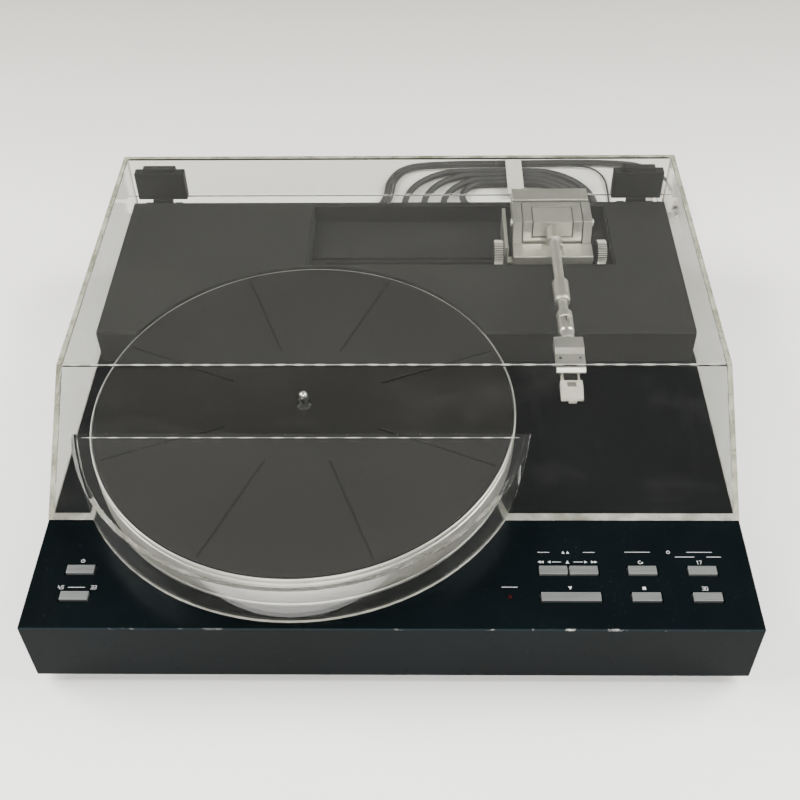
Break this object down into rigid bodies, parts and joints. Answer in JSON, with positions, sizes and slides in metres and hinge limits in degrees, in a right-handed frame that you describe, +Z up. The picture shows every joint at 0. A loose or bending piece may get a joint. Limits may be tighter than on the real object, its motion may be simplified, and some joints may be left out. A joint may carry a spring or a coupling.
{
  "type": "record player",
  "caption": "Low record player with a straight arm on a sliding carriage, a clear hinged dust cover with a round front bulge, and control keys along the front.",
  "frame": {"origin": "centre of the plinth's outline, on the table under the feet", "axes": "+X to the right, +Y to the back, +Z up"},
  "size_m": [0.5083, 0.602, 0.1266],
  "materials": {
    "lacquer": "satin black lacquer",
    "black_plastic": "matt black",
    "rubber": "matt",
    "mat": "matt with radial grooves",
    "platter_metal": "turned and polished",
    "arm_metal": "satin",
    "steel": "bright",
    "acrylic": "clear cast acrylic, polished",
    "button": "satin silver grey",
    "ivory": "ivory",
    "board": "green solder resist",
    "copper": "enamelled copper",
    "magnet": "ferrite",
    "red": "moulded",
    "lens": "clear red",
    "tape": "paper tape"
  },
  "bodies": {
    "plinth": {"plinth_shell": "lacquer", "bottom_cover": "black_plastic", "foot_front_left": "rubber", "foot_front_right": "rubber", "foot_rear_left": "rubber", "foot_rear_right": "rubber", "rear_block": "black_plastic", "arm_trough": "black_plastic", "guide_rod": "steel", "arm_motor": "steel", "drive_belt": "rubber", "platter_bearing": "steel", "motor_stator": "copper", "power_transformer": "steel", "main_board": "board", "lock_lamp": "lens", "hinge_base_left": "black_plastic", "hinge_base_right": "black_plastic", "mains_cord": "rubber", "mains_hank": "rubber", "mains_plug": "rubber", "mains_gland": "rubber", "phono_gland": "rubber", "phono_cord_white": "rubber", "phono_cord_red": "rubber", "phono_plug_white": "ivory", "phono_plug_red": "red", "ground_wire": "rubber", "cord_tie": "tape"},
    "platter": {"platter": "platter_metal", "platter_mat": "mat", "spindle": "steel", "rotor_magnet": "magnet"},
    "cover": {"dust_cover": "acrylic", "hinge_leaf_left": "black_plastic", "hinge_leaf_right": "black_plastic"},
    "carriage": {"carriage_base": "arm_metal", "carriage_yoke": "arm_metal", "pivot_screw_left": "steel", "pivot_screw_right": "steel"},
    "height_dial": {"height_dial": "arm_metal"},
    "force_dial": {"force_dial": "arm_metal"},
    "gimbal": {"arm_gimbal": "arm_metal"},
    "arm": {"arm_block": "arm_metal", "arm_tube": "arm_metal", "headshell": "arm_metal", "cartridge": "black_plastic", "stylus_holder": "ivory"},
    "counterweight": {"counterweight": "arm_metal"},
    "drive_pulley": {"drive_pulley": "black_plastic"},
    "idler_pulley": {"idler_pulley": "black_plastic"},
    "button_power": {"button_power": "button"},
    "button_speed": {"button_speed": "button"},
    "button_arm_left": {"button_arm_left": "button"},
    "button_arm_right": {"button_arm_right": "button"},
    "button_arm_down": {"button_arm_down": "button"},
    "button_repeat": {"button_repeat": "button"},
    "button_cut": {"button_cut": "button"},
    "button_size_17": {"button_size_17": "button"},
    "button_size_30": {"button_size_30": "button"}
  },
  "joints": [
    {"name": "platter_spin", "type": "hinge", "parent": "plinth", "child": "platter", "pos_m": [-0.0634, -0.04645, 0.0631], "axis": [0, 0, 1], "continuous": true},
    {"name": "cover_hinge", "type": "hinge", "parent": "plinth", "child": "cover", "pos_m": [0, 0.19995, 0.08], "axis": [-1, 0, 0], "range_deg": [0, 58]},
    {"name": "carriage_slide", "type": "slide", "parent": "plinth", "child": "carriage", "axis": [1, 0, 0], "range_m": [-0.135, 0]},
    {"name": "drive_pulley_turn", "type": "hinge", "parent": "plinth", "child": "drive_pulley", "pos_m": [0.15, 0.15245, 0.0628], "axis": [0, 0, 1], "range_deg": [-805, 5]},
    {"name": "idler_pulley_turn", "type": "hinge", "parent": "plinth", "child": "idler_pulley", "pos_m": [-0.052, 0.15245, 0.0628], "axis": [0, 0, 1], "range_deg": [-805, 5]},
    {"name": "height_dial_turn", "type": "hinge", "parent": "carriage", "child": "height_dial", "pos_m": [0.0818, 0.11805, 0.0955], "axis": [1, 0, 0], "range_deg": [-150, 150]},
    {"name": "force_dial_turn", "type": "hinge", "parent": "carriage", "child": "force_dial", "pos_m": [0.1644, 0.11805, 0.0955], "axis": [1, 0, 0], "range_deg": [-150, 150]},
    {"name": "arm_lift", "type": "hinge", "parent": "carriage", "child": "gimbal", "pos_m": [0.1252, 0.13585, 0.112], "axis": [1, 0, 0], "range_deg": [0, 1.5]},
    {"name": "arm_swing", "type": "hinge", "parent": "gimbal", "child": "arm", "pos_m": [0.1252, 0.13585, 0.112], "axis": [0, 0, 1], "range_deg": [-1.2, 1.2]},
    {"name": "counterweight_slide", "type": "slide", "parent": "arm", "child": "counterweight", "axis": [0, 1, 0], "range_m": [-0.0018, 0.0018]},
    {"name": "button_power_press", "type": "slide", "parent": "plinth", "child": "button_power", "axis": [0, 0, -1], "range_m": [0, 0.0012], "stiffness_N_per_m": 300, "springref_m": -0.0004},
    {"name": "button_speed_press", "type": "slide", "parent": "plinth", "child": "button_speed", "axis": [0, 0, -1], "range_m": [0, 0.0012], "stiffness_N_per_m": 300, "springref_m": -0.0004},
    {"name": "button_arm_left_press", "type": "slide", "parent": "plinth", "child": "button_arm_left", "axis": [0, 0, -1], "range_m": [0, 0.0012], "stiffness_N_per_m": 300, "springref_m": -0.0004},
    {"name": "button_arm_right_press", "type": "slide", "parent": "plinth", "child": "button_arm_right", "axis": [0, 0, -1], "range_m": [0, 0.0012], "stiffness_N_per_m": 300, "springref_m": -0.0004},
    {"name": "button_arm_down_press", "type": "slide", "parent": "plinth", "child": "button_arm_down", "axis": [0, 0, -1], "range_m": [0, 0.0012], "stiffness_N_per_m": 300, "springref_m": -0.0004},
    {"name": "button_repeat_press", "type": "slide", "parent": "plinth", "child": "button_repeat", "axis": [0, 0, -1], "range_m": [0, 0.0012], "stiffness_N_per_m": 300, "springref_m": -0.0004},
    {"name": "button_cut_press", "type": "slide", "parent": "plinth", "child": "button_cut", "axis": [0, 0, -1], "range_m": [0, 0.0012], "stiffness_N_per_m": 300, "springref_m": -0.0004},
    {"name": "button_size_17_press", "type": "slide", "parent": "plinth", "child": "button_size_17", "axis": [0, 0, -1], "range_m": [0, 0.0012], "stiffness_N_per_m": 300, "springref_m": -0.0004},
    {"name": "button_size_30_press", "type": "slide", "parent": "plinth", "child": "button_size_30", "axis": [0, 0, -1], "range_m": [0, 0.0012], "stiffness_N_per_m": 300, "springref_m": -0.0004}
  ],
  "couplings": [
    {"joint": "drive_pulley_turn", "follows": "carriage_slide", "rad_per_m": 103.09},
    {"joint": "idler_pulley_turn", "follows": "carriage_slide", "rad_per_m": 103.09}
  ]
}
